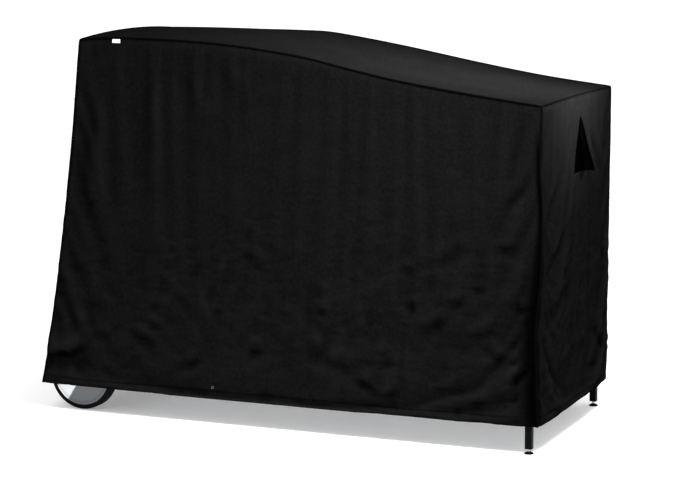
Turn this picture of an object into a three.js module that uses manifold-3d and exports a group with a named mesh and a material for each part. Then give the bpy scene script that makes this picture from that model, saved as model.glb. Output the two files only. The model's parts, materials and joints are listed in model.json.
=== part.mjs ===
// A fitted fabric cover over a grill cart: high over the hood at the left, sloping to the side table.
// Millimetres, +Z up, +X to the table end, -Y to the front. The base's centre is at the origin.
import * as THREE from "three";
import { mergeVertices } from "three/addons/utils/BufferGeometryUtils.js";
import Module from "manifold-3d";

const wasm = await Module();
wasm.setup();

// ---------------------------------------------------------------- driving dimensions
const COVER_LENGTH = 1530; // at the hem
const COVER_DEPTH = 680;
const HEM_Z = 80; // the hem hangs this far above the ground
const PEAK_Z = 1100; // front and back seams over the hood
const TABLE_END_Z = 951; // seam over the table's outer end
const LEFT_LEAN = 145; // how much further out the left side is at the hem than at the top
const CROWN = 17; // rise of the top between the front and back seams, over the hood
const CORNER_DROP = 8; // the top seam's dip at its left corner
const CORNER_RUN = 60;
const SLOPE_START = -360; // the top leaves the level over the hood here
const SLOPE_FULL = 40; // and slopes evenly from here to the table's end

const FABRIC = 2; // panel thickness
const HEM = { height: 25, thickness: 3 };
const PIPING_R = 2.5;
const EDGE = 3; // piping's centre to the cover's outer faces
const EDGE_CUT = 7; // panels stop this far short of a sewn edge
const GAP = 0.3; // between pieces that touch

const VENT = { y: 22, apex: 893, base: 736, halfWidth: 55, seam: 8 };
const FLAP = { width: 70, thickness: 1.5, open: 40 };
const LABEL = { x: -501, z: 1086, length: 26, height: 13, thickness: 1 };
const EYELET = { x: -208, z: 112, outerR: 6, holeR: 3, thickness: 1.2 };

const TUBE = 20;
const TUBE_WALL = 1.5;
const LEG_INSET_X = 31; // leg's centre to the cover's right face
const LEG_Y = 318;
const LEG_BOTTOM_Z = 17;
const LOWER_RAIL_Z = 125;
const UPPER_RAIL_Z = 620;
const LEFT_CROSS_Z = 222;
const WORKTOP = { left: -140, right: 755, halfDepth: 328, bottom: 922, top: 946, sheet: 1.5 };
const POST_X = -130;
const UPRIGHT_FOOT_Z = 88;
const BEARER = { inset: 40, half: LEG_Y + 8 };
const SHELF = { sheet: 1.5, wheelGap: 12 };

const WHEEL = { x: -655, radius: 102.5, rim: 90.5, width: 38, faceY: 300, bore: 6.5 };
const DISH = { hubR: 14, skin: 1.5, web: 5, rimWall: 3, lip: 2 };
const TYRE_CHAMFER = 3;
const AXLE_R = 6;
const AXLE_HALF = 330;
const SPACER_R = 9;
const COLLAR = { radius: 11, length: 8 };
const CAP = { radius: 9, length: 3 };
const FOOT = { padR: 13, padHeight: 7, edge: 2.5, bevel: 2, neckR: 6.5, stemR: 4, stemTop: 62 };
const PLUG = { flange: 2, reach: 22 };

const FIREBOX = { left: -596, right: -158, halfDepth: 290, bottom: 650.6, top: 898, sheet: 2 };
const HOOD = { left: -602, right: -152, halfDepth: 298, bottom: 898.3, top: 1090, shoulder: 70, sheet: 2 };
const HANDLE = { half: 150, overhang: 20, y: -320, z: 935, radius: 6, standR: 5 };

const X_RIGHT = COVER_LENGTH / 2;
const X_LEFT = -COVER_LENGTH / 2;
const Y_SIDE = COVER_DEPTH / 2;
const X_TOP_LEFT = X_LEFT + LEFT_LEAN;
const LEG_X = X_RIGHT - LEG_INSET_X;
const TOP_LEFT_Z = PEAK_Z - CORNER_DROP;
const LEAN = Math.atan2(LEFT_LEAN, TOP_LEFT_Z - HEM_Z);
const SLOPE = (PEAK_Z - TABLE_END_Z) / (X_RIGHT - (SLOPE_START + SLOPE_FULL) / 2);

// ---------------------------------------------------------------- materials
const finish = (color, roughness, metalness = 0) =>
  new THREE.MeshStandardMaterial({ color, roughness, metalness });
const coverFabric = finish("#1b1b1c", 0.85);
const pipingFabric = finish("#0c0c0d", 0.7);
const ventMesh = finish("#070707", 0.9);
const labelWeave = finish("#e8e8e4", 0.8);
const nickel = finish("#6e7073", 0.35, 1);
const blackPaint = finish("#141416", 0.45, 0.2);
const stainless = finish("#b9bbbd", 0.3, 1);
const rubber = finish("#111111", 0.85);
const blackPlastic = finish("#121213", 0.6);
const zinc = finish("#c7c9cc", 0.3, 1);

// ---------------------------------------------------------------- helpers
const cart = new THREE.Group();
const cover = new THREE.Group();

function add(parent, name, geometry, material, position = [0, 0, 0]) {
  const mesh = new THREE.Mesh(geometry, material);
  mesh.name = name;
  mesh.position.set(...position);
  parent.add(mesh);
  return mesh;
}

const box = (x, y, z) => new THREE.BoxGeometry(x, y, z);
const rodY = (r, length, sides = 20) => new THREE.CylinderGeometry(r, r, length, sides);
const rodZ = (r, length, sides = 20) => rodY(r, length, sides).rotateX(Math.PI / 2);

// A sheet cut from a shape, thick towards +z.
function cut(shape, thickness) {
  return new THREE.ExtrudeGeometry(shape, { depth: thickness, bevelEnabled: false, curveSegments: 3 });
}
// The same sheet stood up: the shape's x stays x and its y becomes z, and it is thick towards -y.
const cutXZ = (shape, thickness) => cut(shape, thickness).rotateX(Math.PI / 2);
// Stood across: the shape's x becomes y and its y becomes z, and it is thick towards +x.
const cutYZ = (shape, thickness) => cutXZ(shape, thickness).rotateZ(Math.PI / 2);

function polygon(points) {
  return new THREE.Shape(points.map(([x, y]) => new THREE.Vector2(x, y)));
}

// A ring turned about y from its section, given as radius and place along y.
function turned(points, segments = 40) {
  const closed = [...points, points[0]].map(([r, y]) => new THREE.Vector2(r, y));
  return new THREE.LatheGeometry(closed, segments);
}

function solid(geometry) {
  const bare = geometry.clone().deleteAttribute("normal").deleteAttribute("uv");
  const merged = mergeVertices(bare, 1e-3);
  return new wasm.Manifold(new wasm.Mesh({
    numProp: 3,
    vertProperties: new Float32Array(merged.attributes.position.array),
    triVerts: new Uint32Array(merged.index.array),
  }));
}

function geometryOf(manifold) {
  const { vertProperties, triVerts } = manifold.getMesh();
  const geometry = new THREE.BufferGeometry();
  geometry.setAttribute("position", new THREE.BufferAttribute(vertProperties, 3));
  geometry.setIndex(new THREE.BufferAttribute(triVerts, 1));
  return geometry;
}

// ---------------------------------------------------------------- the cover's outline
// Height of the front and back seams along the cover.
function seamZ(x) {
  const run = Math.max(0, x - SLOPE_START);
  const bend = SLOPE_FULL - SLOPE_START;
  const drop = run < bend ? (run * run) / (2 * bend) : run - bend / 2;
  const corner = Math.max(0, X_TOP_LEFT + CORNER_RUN - x) / CORNER_RUN;
  return PEAK_Z - SLOPE * drop - CORNER_DROP * corner * corner;
}

// How far the top stands above the seams: full over the hood, and none over the table.
function crown(x, y) {
  const along = THREE.MathUtils.smoothstep(-x, -250, 250);
  return CROWN * along * (1 - (y / Y_SIDE) ** 2);
}

// The left edge's place at a height: it leans out to the hem.
const leftX = (z) => X_LEFT + ((z - HEM_Z) * LEFT_LEAN) / (TOP_LEFT_Z - HEM_Z);

// Front and back panels: level hem, leaning left edge, and the seam's curve along the top.
function longPanel(name, outerY, inwards) {
  const bottom = HEM_Z + HEM.height + GAP;
  const right = X_RIGHT - EDGE_CUT;
  const outline = [[leftX(bottom) + EDGE_CUT, bottom], [right, bottom]];
  const left = X_TOP_LEFT + EDGE_CUT;
  const steps = 40;
  for (let i = steps; i >= 0; i--) {
    const x = left + ((right - left) * i) / steps;
    outline.push([x, seamZ(x) - EDGE_CUT]);
  }
  const y = inwards > 0 ? outerY + FABRIC : outerY;
  add(cover, name, cutXZ(polygon(outline), FABRIC), coverFabric, [0, y, 0]);
}

function longHem(name, outerY, inwards) {
  const top = HEM_Z + HEM.height;
  const outline = [[X_LEFT, HEM_Z], [X_RIGHT, HEM_Z], [X_RIGHT, top], [leftX(top), top]];
  const y = inwards > 0 ? outerY + HEM.thickness : outerY;
  add(cover, name, cutXZ(polygon(outline), HEM.thickness), pipingFabric, [0, y, 0]);
}

function topPanel() {
  const length = X_RIGHT - X_TOP_LEFT - 2 * EDGE_CUT;
  const depth = COVER_DEPTH - 2 * EDGE_CUT;
  const geometry = new THREE.BoxGeometry(length, depth, FABRIC, 32, 6, 1);
  geometry.translate((X_RIGHT + X_TOP_LEFT) / 2, 0, 0);
  const place = geometry.attributes.position;
  for (let i = 0; i < place.count; i++) {
    const [x, y, z] = [place.getX(i), place.getY(i), place.getZ(i)];
    place.setZ(i, z - FABRIC / 2 + seamZ(x) + crown(x, y));
  }
  add(cover, "top_panel", geometry, coverFabric);
}

// A round cord laid along a curve.
function piping(name, points, steps) {
  const section = new THREE.Shape().absarc(0, 0, PIPING_R, 0, 2 * Math.PI);
  const path = new THREE.CatmullRomCurve3(points.map((p) => new THREE.Vector3(...p)));
  const options = { steps, extrudePath: path, curveSegments: 4, bevelEnabled: false };
  add(cover, name, new THREE.ExtrudeGeometry(section, options), pipingFabric);
}

function pipings() {
  const start = X_TOP_LEFT + EDGE_CUT + GAP;
  const end = X_RIGHT - EDGE_CUT - GAP;
  const foot = HEM_Z + HEM.height + GAP;
  for (const [name, y] of [["front", -Y_SIDE + EDGE], ["back", Y_SIDE - EDGE]]) {
    const points = [];
    const parts = 24;
    for (let i = 0; i <= parts; i++) {
      const x = start + ((end - start) * i) / parts;
      points.push([x, y, seamZ(x) - EDGE]);
    }
    piping(name + "_top_piping", points, 40);
    const right = X_RIGHT - EDGE;
    piping(name + "_right_piping", [[right, y, foot], [right, y, seamZ(end) - EDGE_CUT]], 1);
    const head = TOP_LEFT_Z - EDGE_CUT;
    piping(name + "_left_piping", [[leftX(foot) + EDGE, y, foot], [leftX(head) + EDGE, y, head]], 1);
  }
  const reach = Y_SIDE - EDGE_CUT - GAP;
  const across = [-1, -0.75, -0.5, -0.25, 0, 0.25, 0.5, 0.75, 1].map((s) => s * reach);
  const left = X_TOP_LEFT + EDGE;
  const leftTop = across.map((y) => [left, y, seamZ(left) + crown(left, y) - EDGE]);
  piping("left_top_piping", leftTop, 12);
  const rightTop = [-reach, reach].map((y) => [X_RIGHT - EDGE, y, TABLE_END_Z - EDGE]);
  piping("right_top_piping", rightTop, 1);
}

// One end of the cover, in its own frame: x out of the panel, z up it from the hem.
function endOf(name, height, rise) {
  const group = new THREE.Group();
  cover.add(group);
  const half = Y_SIDE - EDGE_CUT;
  const foot = HEM.height + GAP;
  const outline = [[-half, foot], [half, foot]];
  const steps = rise ? 12 : 1;
  for (let i = steps; i >= 0; i--) {
    const y = -half + (2 * half * i) / steps;
    outline.push([y, height - EDGE_CUT + rise * (1 - (y / Y_SIDE) ** 2)]);
  }
  const [apex, base] = [VENT.apex - HEM_Z, VENT.base - HEM_Z];
  const triangle = (grow) => [
    [VENT.y - VENT.halfWidth - grow, base - grow],
    [VENT.y + VENT.halfWidth + grow, base - grow],
    [VENT.y, apex + 2 * grow],
  ];
  const sheet = polygon(outline);
  sheet.holes.push(polygon(triangle(0)));
  add(group, name + "_panel", cutYZ(sheet, FABRIC), coverFabric, [-FABRIC, 0, 0]);
  const mesh = cutYZ(polygon(triangle(VENT.seam)), 1);
  add(group, name + "_vent_mesh", mesh, ventMesh, [-FABRIC - GAP - 1, 0, 0]);

  // The flap hangs on the vent's rear edge and stands open with its mouth along -y.
  const pivot = new THREE.Group();
  const hinge = new THREE.Vector3(0, VENT.y + VENT.halfWidth, base);
  const up = new THREE.Vector3(0, -VENT.halfWidth, apex - base).normalize();
  pivot.position.set(GAP + FLAP.thickness, hinge.y, hinge.z);
  pivot.quaternion.setFromAxisAngle(up, THREE.MathUtils.degToRad(FLAP.open));
  group.add(pivot);
  const cloth = polygon([[hinge.y - FLAP.width, base], [hinge.y, base], [VENT.y, apex]]);
  const flap = cutYZ(cloth, FLAP.thickness).translate(-FLAP.thickness / 2, -hinge.y, -hinge.z);
  add(pivot, name + "_vent_flap", flap, coverFabric);

  const hem = box(HEM.thickness, 2 * (Y_SIDE - HEM.thickness - GAP), HEM.height);
  add(group, name + "_hem", hem, pipingFabric, [-HEM.thickness / 2, 0, HEM.height / 2]);
  return group;
}

function makeCover() {
  longPanel("front_panel", -Y_SIDE, 1);
  longPanel("back_panel", Y_SIDE, -1);
  topPanel();
  const right = endOf("right", TABLE_END_Z - HEM_Z, 0);
  right.position.set(X_RIGHT, 0, HEM_Z);
  const left = endOf("left", (TOP_LEFT_Z - HEM_Z) / Math.cos(LEAN), CROWN);
  left.position.set(X_LEFT, 0, HEM_Z);
  left.rotation.set(0, LEAN, Math.PI);
  longHem("front_hem", -Y_SIDE, 1);
  longHem("back_hem", Y_SIDE, -1);
  pipings();
  const label = box(LABEL.length, LABEL.thickness, LABEL.height);
  const labelY = -Y_SIDE - GAP - LABEL.thickness / 2;
  add(cover, "sewn_label", label, labelWeave, [LABEL.x, labelY, LABEL.z]);
  const { outerR, holeR, thickness } = EYELET;
  const eyelet = turned([[holeR, 0], [outerR, 0], [outerR, thickness], [holeR, thickness]], 24);
  add(cover, "hem_eyelet", eyelet, nickel, [EYELET.x, -Y_SIDE - GAP - thickness, EYELET.z]);
}

// ---------------------------------------------------------------- the cart
// A square with its corners taken off.
function squareSection(size) {
  const [h, c] = [size / 2, size / 2 - size / 12];
  return polygon([[h, -c], [h, c], [c, h], [-c, h], [-h, c], [-h, -c], [-c, -h], [c, -h]]);
}

// A square tube along one axis, between two places on it.
function tube(name, axis, from, to, centre, drill = null) {
  const section = squareSection(TUBE);
  section.holes.push(squareSection(TUBE - 2 * TUBE_WALL));
  let geometry = cut(section, to - from).translate(0, 0, from);
  if (axis === "x") geometry.rotateY(Math.PI / 2);
  if (axis === "y") geometry.rotateX(-Math.PI / 2);
  if (drill) geometry = geometryOf(solid(geometry).subtract(solid(drill)));
  add(cart, name, geometry, blackPaint, centre);
}

function frame() {
  const half = TUBE / 2 + GAP;
  const axleHole = rodY(WHEEL.bore, 2 * TUBE, 24).translate(0, 0, WHEEL.radius);
  for (const [name, y] of [["front", -LEG_Y], ["rear", LEG_Y]]) {
    tube(`${name}_leg`, "z", LEG_BOTTOM_Z, WORKTOP.bottom - GAP, [LEG_X, y, 0]);
    const uprightTop = UPPER_RAIL_Z + TUBE / 2;
    tube(`${name}_upright`, "z", UPRIGHT_FOOT_Z, uprightTop, [WHEEL.x, y, 0], axleHole);
    tube(`${name}_lower_rail`, "x", WHEEL.x + half, LEG_X - half, [0, y, LOWER_RAIL_Z]);
    tube(`${name}_upper_rail`, "x", WHEEL.x + half, LEG_X - half, [0, y, UPPER_RAIL_Z]);
    const postFoot = UPPER_RAIL_Z + half;
    tube(`${name}_worktop_post`, "z", postFoot, WORKTOP.bottom - GAP, [POST_X, y, 0]);
  }
  const span = LEG_Y - half;
  tube("right_cross_rail", "y", -span, span, [LEG_X, 0, LOWER_RAIL_Z]);
  tube("left_cross_rail", "y", -span, span, [WHEEL.x, 0, LEFT_CROSS_Z]);
  const bearerZ = UPPER_RAIL_Z + TUBE + GAP;
  const { inset, half: bearerHalf } = BEARER;
  tube("left_firebox_bearer", "y", -bearerHalf, bearerHalf, [FIREBOX.left + inset, 0, bearerZ]);
  tube("right_firebox_bearer", "y", -bearerHalf, bearerHalf, [FIREBOX.right - inset, 0, bearerZ]);
  const shelfLeft = WHEEL.x + WHEEL.radius + SHELF.wheelGap;
  const shelfRight = LEG_X - half;
  const shelf = box(shelfRight - shelfLeft, 2 * (LEG_Y + TUBE / 2), SHELF.sheet);
  const shelfZ = LOWER_RAIL_Z + half + SHELF.sheet / 2;
  add(cart, "base_shelf", shelf, stainless, [(shelfLeft + shelfRight) / 2, 0, shelfZ]);
}

// A box open on one side, made of sheet. skin is the thickness of its walls.
function tray(size, centre, skin, openUp) {
  const inner = box(size[0] - 2 * skin, size[1] - 2 * skin, size[2]).translate(0, 0, openUp ? skin : -skin);
  return geometryOf(solid(box(...size)).subtract(solid(inner))).translate(...centre);
}

function worktop() {
  const { left, right, halfDepth, bottom, top, sheet } = WORKTOP;
  const size = [right - left, 2 * halfDepth, top - bottom];
  const centre = [(left + right) / 2, 0, (top + bottom) / 2];
  add(cart, "worktop", tray(size, centre, sheet, false), stainless);
}

function firebox() {
  const { left, right, halfDepth, bottom, top, sheet } = FIREBOX;
  const size = [right - left, 2 * halfDepth, top - bottom];
  const centre = [(left + right) / 2, 0, (top + bottom) / 2];
  add(cart, "firebox", tray(size, centre, sheet, true), blackPaint);
}

// The hood's side view: upright walls, round shoulders and a slightly raised top.
function hoodSection(inset) {
  const { halfDepth, bottom, top, shoulder } = HOOD;
  const [y, z, r] = [halfDepth - inset, top - inset, shoulder - inset];
  const shape = new THREE.Shape();
  shape.moveTo(-y, bottom - inset);
  shape.lineTo(y, bottom - inset);
  shape.lineTo(y, z - r);
  shape.absarc(y - r, z - r, r, 0, Math.PI / 2);
  shape.quadraticCurveTo(0, z + CROWN, -y + r, z);
  shape.absarc(-y + r, z - r, r, Math.PI / 2, Math.PI);
  return shape;
}

function hood() {
  const skin = HOOD.sheet;
  const width = HOOD.right - HOOD.left;
  const outer = cutYZ(hoodSection(0), width).translate(HOOD.left, 0, 0);
  const inner = cutYZ(hoodSection(skin), width - 2 * skin).translate(HOOD.left + skin, 0, 0);
  add(cart, "hood", geometryOf(solid(outer).subtract(solid(inner))), blackPaint);

  const { half, overhang, y, z, radius, standR } = HANDLE;
  let handle = solid(rodZ(radius, 2 * (half + overhang), 16).rotateY(Math.PI / 2));
  const reach = -HOOD.halfDepth - y - GAP;
  for (const side of [-1, 1]) {
    handle = handle.add(solid(rodY(standR, reach, 16).translate(side * half, reach / 2, 0)));
  }
  add(cart, "hood_handle", geometryOf(handle), stainless, [(HOOD.left + HOOD.right) / 2, y, z]);
}

function wheels() {
  const { x, radius, rim, width, faceY, bore } = WHEEL;
  add(cart, "axle", rodY(AXLE_R, 2 * AXLE_HALF, 24), zinc, [x, 0, radius]);
  // y runs from the wheel's inner side at 0 to its outer face at width.
  const wall = rim - DISH.rimWall;
  const face = width - DISH.skin;
  const back = width - DISH.web;
  const disc = [
    [bore, 0], [DISH.hubR, 0], [DISH.hubR, back], [wall, back], [wall, DISH.rimWall], [rim, DISH.rimWall],
    [rim, width - 1], [rim - DISH.lip, width], [rim - 2 * DISH.lip, face], [bore, face],
  ];
  const shoulder = radius - TYRE_CHAMFER;
  const tyre = [
    [rim + GAP, 0.5], [shoulder, 0], [radius, TYRE_CHAMFER],
    [radius, width - TYRE_CHAMFER], [shoulder, width], [rim + GAP, width - 0.5],
  ];
  const spacerLength = LEG_Y - TUBE / 2 - faceY - 2 * GAP;
  const pipe = (r, length) => turned([[bore, 0], [r, 0], [r, length], [bore, length]], 20);
  for (const [name, side] of [["front", -1], ["rear", 1]]) {
    const group = new THREE.Group();
    group.position.set(x, side * faceY, radius);
    if (side < 0) group.rotation.x = Math.PI;
    cart.add(group);
    const inwards = [0, -width, 0];
    add(group, `${name}_wheel_disc`, turned(disc), stainless, inwards);
    add(group, `${name}_tyre`, turned(tyre, 48), rubber, inwards);
    add(group, `${name}_axle_spacer`, pipe(SPACER_R, spacerLength), zinc, [0, GAP, 0]);
    const collarPlace = [0, -width - GAP - COLLAR.length, 0];
    add(group, `${name}_axle_collar`, pipe(COLLAR.radius, COLLAR.length), zinc, collarPlace);
    const cap = rodY(CAP.radius, CAP.length, 24);
    add(group, `${name}_axle_cap`, cap, blackPlastic, [0, AXLE_HALF - faceY + GAP + CAP.length / 2, 0]);
  }
}

function feet() {
  const { padR, padHeight, edge, bevel, neckR, stemR, stemTop } = FOOT;
  const inner = TUBE - 2 * TUBE_WALL - 2 * GAP;
  const dome = [
    [0, 0], [padR, 0], [padR, edge], [padR - bevel, edge + bevel],
    [neckR, padHeight - 0.5], [neckR - 0.5, padHeight], [0, padHeight],
  ];
  const stemLength = stemTop - padHeight - GAP;
  for (const [name, y] of [["front", -LEG_Y], ["rear", LEG_Y]]) {
    const under = LEG_BOTTOM_Z - PLUG.flange;
    const flange = cut(squareSection(TUBE), PLUG.flange).translate(0, 0, under - GAP);
    const shank = cut(squareSection(inner), PLUG.reach + PLUG.flange).translate(0, 0, under);
    const bore = rodZ(stemR + GAP, 60).translate(0, 0, LEG_BOTTOM_Z + PLUG.reach / 2);
    const plug = solid(flange).add(solid(shank)).subtract(solid(bore));
    add(cart, `${name}_leg_plug`, geometryOf(plug), blackPlastic, [LEG_X, y, 0]);
    const pad = new THREE.LatheGeometry(dome.map(([r, h]) => new THREE.Vector2(r, h)), 24);
    add(cart, `${name}_foot_pad`, pad.rotateX(Math.PI / 2), blackPlastic, [LEG_X, y, 0]);
    const stem = rodZ(stemR, stemLength, 24).translate(0, 0, stemTop - stemLength / 2);
    add(cart, `${name}_foot_stem`, stem, zinc, [LEG_X, y, 0]);
  }
}

// ---------------------------------------------------------------- the whole object
makeCover();
frame();
worktop();
firebox();
hood();
wheels();
feet();

const part = new THREE.Group();
part.add(cover, cart);
const bounds = new THREE.Box3().setFromObject(part, true);
part.position.x = -(bounds.min.x + bounds.max.x) / 2;
part.position.y = -(bounds.min.y + bounds.max.y) / 2;
part.updateMatrixWorld(true);

export default part;
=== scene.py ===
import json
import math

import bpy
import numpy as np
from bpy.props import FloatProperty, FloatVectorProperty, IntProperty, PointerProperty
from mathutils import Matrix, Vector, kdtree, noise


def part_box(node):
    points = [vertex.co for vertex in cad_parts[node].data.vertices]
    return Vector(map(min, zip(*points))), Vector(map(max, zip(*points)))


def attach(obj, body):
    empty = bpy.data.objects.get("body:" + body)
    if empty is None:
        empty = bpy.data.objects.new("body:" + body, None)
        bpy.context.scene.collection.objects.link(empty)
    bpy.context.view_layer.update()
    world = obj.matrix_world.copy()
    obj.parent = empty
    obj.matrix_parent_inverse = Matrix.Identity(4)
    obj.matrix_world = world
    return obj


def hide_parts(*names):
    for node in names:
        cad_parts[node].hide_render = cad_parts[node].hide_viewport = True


bl_info = {
    "name": "Grill cover",
    "version": (1, 0, 0),
    "blender": (4, 5, 0),
    "location": "View3D > Sidebar > Grill cover",
    "description": "A fitted fabric cover standing over its grill cart",
    "category": "Object",
}

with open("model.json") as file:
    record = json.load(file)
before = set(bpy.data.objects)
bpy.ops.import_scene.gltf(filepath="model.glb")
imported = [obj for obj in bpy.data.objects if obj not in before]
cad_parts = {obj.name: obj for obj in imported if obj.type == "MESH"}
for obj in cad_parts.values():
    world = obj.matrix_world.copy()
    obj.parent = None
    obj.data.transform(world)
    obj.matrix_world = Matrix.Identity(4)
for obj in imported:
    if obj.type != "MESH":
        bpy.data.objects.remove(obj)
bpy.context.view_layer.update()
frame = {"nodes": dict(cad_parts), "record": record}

# ---------------------------------------------------------------- places taken from the frame
RIGHT_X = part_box("right_hem")[1][0]
FRONT_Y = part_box("front_hem")[0][1]
BACK_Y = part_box("back_hem")[1][1]
HEM_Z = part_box("front_hem")[0][2]
HEM_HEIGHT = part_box("front_hem")[1][2] - HEM_Z
DEPTH = BACK_Y - FRONT_Y
MID_Y = (FRONT_Y + BACK_Y) / 2

# Outlines are given as distance from the cover's right face, and height above the ground, in metres.
FRONT_SEAM = ((-1.385, 1.096), (-1.32, 1.102), (-1.18, 1.104), (-0.93, 1.093), (-0.70, 1.066),
              (-0.56, 1.037), (-0.40, 1.006), (-0.20, 0.977), (0.0, 0.951))
BACK_SEAM = ((-1.385, 1.093), (-1.30, 1.095), (-0.92, 1.094), (-0.83, 1.085), (-0.64, 1.055),
             (-0.40, 1.011), (-0.20, 0.978), (0.0, 0.953))
# The left edge, as height and then distance from the right face: it spreads out over the wheel.
LEFT_EDGE = ((0.08, -1.530), (0.30, -1.489), (0.54, -1.452), (0.70, -1.430), (0.86, -1.410),
             (0.98, -1.398), (1.10, -1.385))
# The cloth hangs out from the straight line between its seams by this much.
BELLY = 0.007
# The level crinkles are pressed in by up to this much.
CRINKLE_DEPTH = 0.0022
# A point this far below its neighbours lies fully in a valley, and gets the full painted shade.
HOLLOW_FULL = 0.0046
# The settled cloth stays this close to its cut shape: inwards on the sides, inwards on the top, and outwards.
INWARD_LIMIT, TOP_LIMIT, OUTWARD_LIMIT = 0.008, 0.002, 0.016
# How long a stitch is, how far apart stitches are and how thick the thread is.
STITCH_LENGTH, STITCH_PITCH, THREAD_RADIUS = 0.0036, 0.0048, 0.0005
# The left panel bulges out between its edges by this much, over the hood's end.
LEFT_BULGE = 0.012
# The front right corner's seam wanders to the side by this much at these heights.
CORNER_WANDER = ((0.08, 0.0), (0.21, -0.005), (0.34, -0.009), (0.45, 0.0), (0.56, 0.006),
                 (0.69, 0.004), (0.80, -0.003), (0.951, 0.0))

# Folds pressed into a panel: where each starts and ends, its half width and its depth, in metres.
FRONT_FOLDS = (
    (-0.70, 0.23, -0.61, 0.25, 0.022, 0.006), (-0.66, 0.22, -0.51, 0.20, 0.020, 0.006),
    (-0.55, 0.18, -0.45, 0.12, 0.014, 0.006), (-0.45, 0.12, -0.40, 0.15, 0.013, 0.005),
    (-0.35, 0.31, -0.26, 0.35, 0.020, 0.006), (-0.30, 0.28, -0.06, 0.34, 0.024, 0.006),
    (-0.17, 0.29, -0.09, 0.25, 0.014, 0.005), (-0.09, 0.25, -0.03, 0.26, 0.012, 0.006),
    (-0.08, 0.19, -0.01, 0.25, 0.014, 0.011), (-0.13, 0.15, -0.03, 0.16, 0.020, 0.006),
    (-0.27, 0.10, -0.14, 0.14, 0.016, 0.004), (-0.32, 0.51, -0.19, 0.56, 0.016, 0.004),
    (-0.14, 0.56, -0.05, 0.56, 0.012, 0.004), (-0.41, 0.49, -0.35, 0.48, 0.014, 0.004),
    (-0.20, 0.44, -0.15, 0.45, 0.010, 0.004), (-0.27, 0.40, -0.21, 0.41, 0.012, 0.004),
    (-0.08, 0.41, -0.02, 0.39, 0.012, 0.006), (-0.38, 0.39, -0.35, 0.38, 0.016, 0.004),
    (-1.53, 0.13, -1.36, 0.18, 0.032, 0.019), (-1.36, 0.22, -1.26, 0.27, 0.014, 0.005),
    (-1.25, 0.25, -1.15, 0.22, 0.016, 0.006), (-1.11, 0.15, -1.00, 0.19, 0.016, 0.005),
    (-1.35, 0.13, -1.27, 0.13, 0.010, 0.004), (-0.91, 0.52, -0.81, 0.46, 0.016, 0.003),
    (-0.87, 0.23, -0.81, 0.22, 0.020, 0.005), (-1.19, 0.29, -1.13, 0.27, 0.012, 0.004),
    (-0.66, 0.36, -0.61, 0.35, 0.012, 0.004), (-0.39, 0.33, -0.39, 0.09, 0.007, 0.002),
    (-1.33, 1.07, -1.42, 0.50, 0.035, 0.007), (-1.20, 1.09, -1.19, 0.62, 0.035, 0.006),
    (-1.08, 1.09, -1.02, 0.78, 0.030, 0.004), (-0.96, 1.08, -0.86, 0.84, 0.028, 0.003),
    (-0.05, 0.94, -0.10, 0.72, 0.020, 0.003), (-0.03, 0.74, -0.12, 0.66, 0.014, 0.004),
)
# On the right end the first number of each place is the distance from the front face.
RIGHT_FOLDS = (
    (0.02, 0.46, 0.33, 0.62, 0.022, 0.005), (0.02, 0.58, 0.22, 0.76, 0.020, 0.004),
    (0.04, 0.34, 0.40, 0.46, 0.028, 0.005), (0.10, 0.16, 0.52, 0.24, 0.030, 0.005),
    (0.44, 0.86, 0.62, 0.70, 0.022, 0.004), (0.50, 0.30, 0.66, 0.14, 0.024, 0.005),
    (0.58, 0.60, 0.66, 0.40, 0.018, 0.004),
)
# On the top both numbers are level: distance from the right face, then from the front face.
TOP_FOLDS = (
    (-0.86, 0.06, -0.80, 0.62, 0.045, 0.004), (-0.30, 0.10, -0.52, 0.50, 0.030, 0.003),
    (-0.06, 0.10, -0.26, 0.36, 0.024, 0.003), (-1.30, 0.10, -1.10, 0.40, 0.035, 0.004),
)
FOLDS = {"front": FRONT_FOLDS, "right": RIGHT_FOLDS, "top": TOP_FOLDS}
VENT_BOXES = {end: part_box(end + "_vent_mesh") for end in ("right", "left")}
SIDES = ("front", "back", "right", "left")
# Each vent is a triangular hole, taller than wide. The flap is narrower than the hole, so that it gapes.
VENT_WIDTH = 0.110
VENT_RISE = 0.1664
FLAP_WIDTH = 0.070
FLAP_OPEN = math.radians(40)
NET_SEAM = 0.005
CLOTH = ("front_panel", "back_panel", "right_panel", "left_panel", "top_panel",
         "front_hem", "back_hem", "right_hem", "left_hem")


# ---------------------------------------------------------------- colour and materials
def colour(code):
    """An sRGB hex value as linear red, green, blue and alpha."""
    levels = [int(code[i:i + 2], 16) / 255 for i in (1, 3, 5)]
    return [v / 12.92 if v <= 0.04045 else ((v + 0.055) / 1.055) ** 2.4 for v in levels] + [1.0]


def add_node(tree, kind, settings=None, links=None):
    """Add a node, set its options and inputs, and link each named input from a socket."""
    node = tree.nodes.new(kind)
    for key, value in (settings or {}).items():
        if isinstance(key, int) or key in node.inputs:
            node.inputs[key].default_value = value
        else:
            setattr(node, key, value)
    for key, source in (links or {}).items():
        tree.links.new(source, node.inputs[key])
    return node


def new_material(name, roughness, metallic=0.0, base=None, **sockets):
    """An empty material with its shader: returns the material, its tree and the shader."""
    material = bpy.data.materials.new(name)
    material.use_nodes = True
    tree = material.node_tree
    shader = tree.nodes["Principled BSDF"]
    shader.inputs["Roughness"].default_value = roughness
    shader.inputs["Metallic"].default_value = metallic
    if base is not None:
        shader.inputs["Base Color"].default_value = base
    for key, value in sockets.items():
        shader.inputs[key.replace("_", " ")].default_value = value
    return material, tree, shader


def rgba(value):
    return [*value, 1.0]


def blend_colours(tree, factor, start, end):
    """A colour between two, by a factor socket. The first may come from a socket too."""
    mix = add_node(tree, "ShaderNodeMix", {"data_type": "RGBA", 7: end}, {0: factor})
    if isinstance(start, bpy.types.NodeSocket):
        tree.links.new(start, mix.inputs[6])
    else:
        mix.inputs[6].default_value = start
    return mix.outputs[2]


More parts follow.
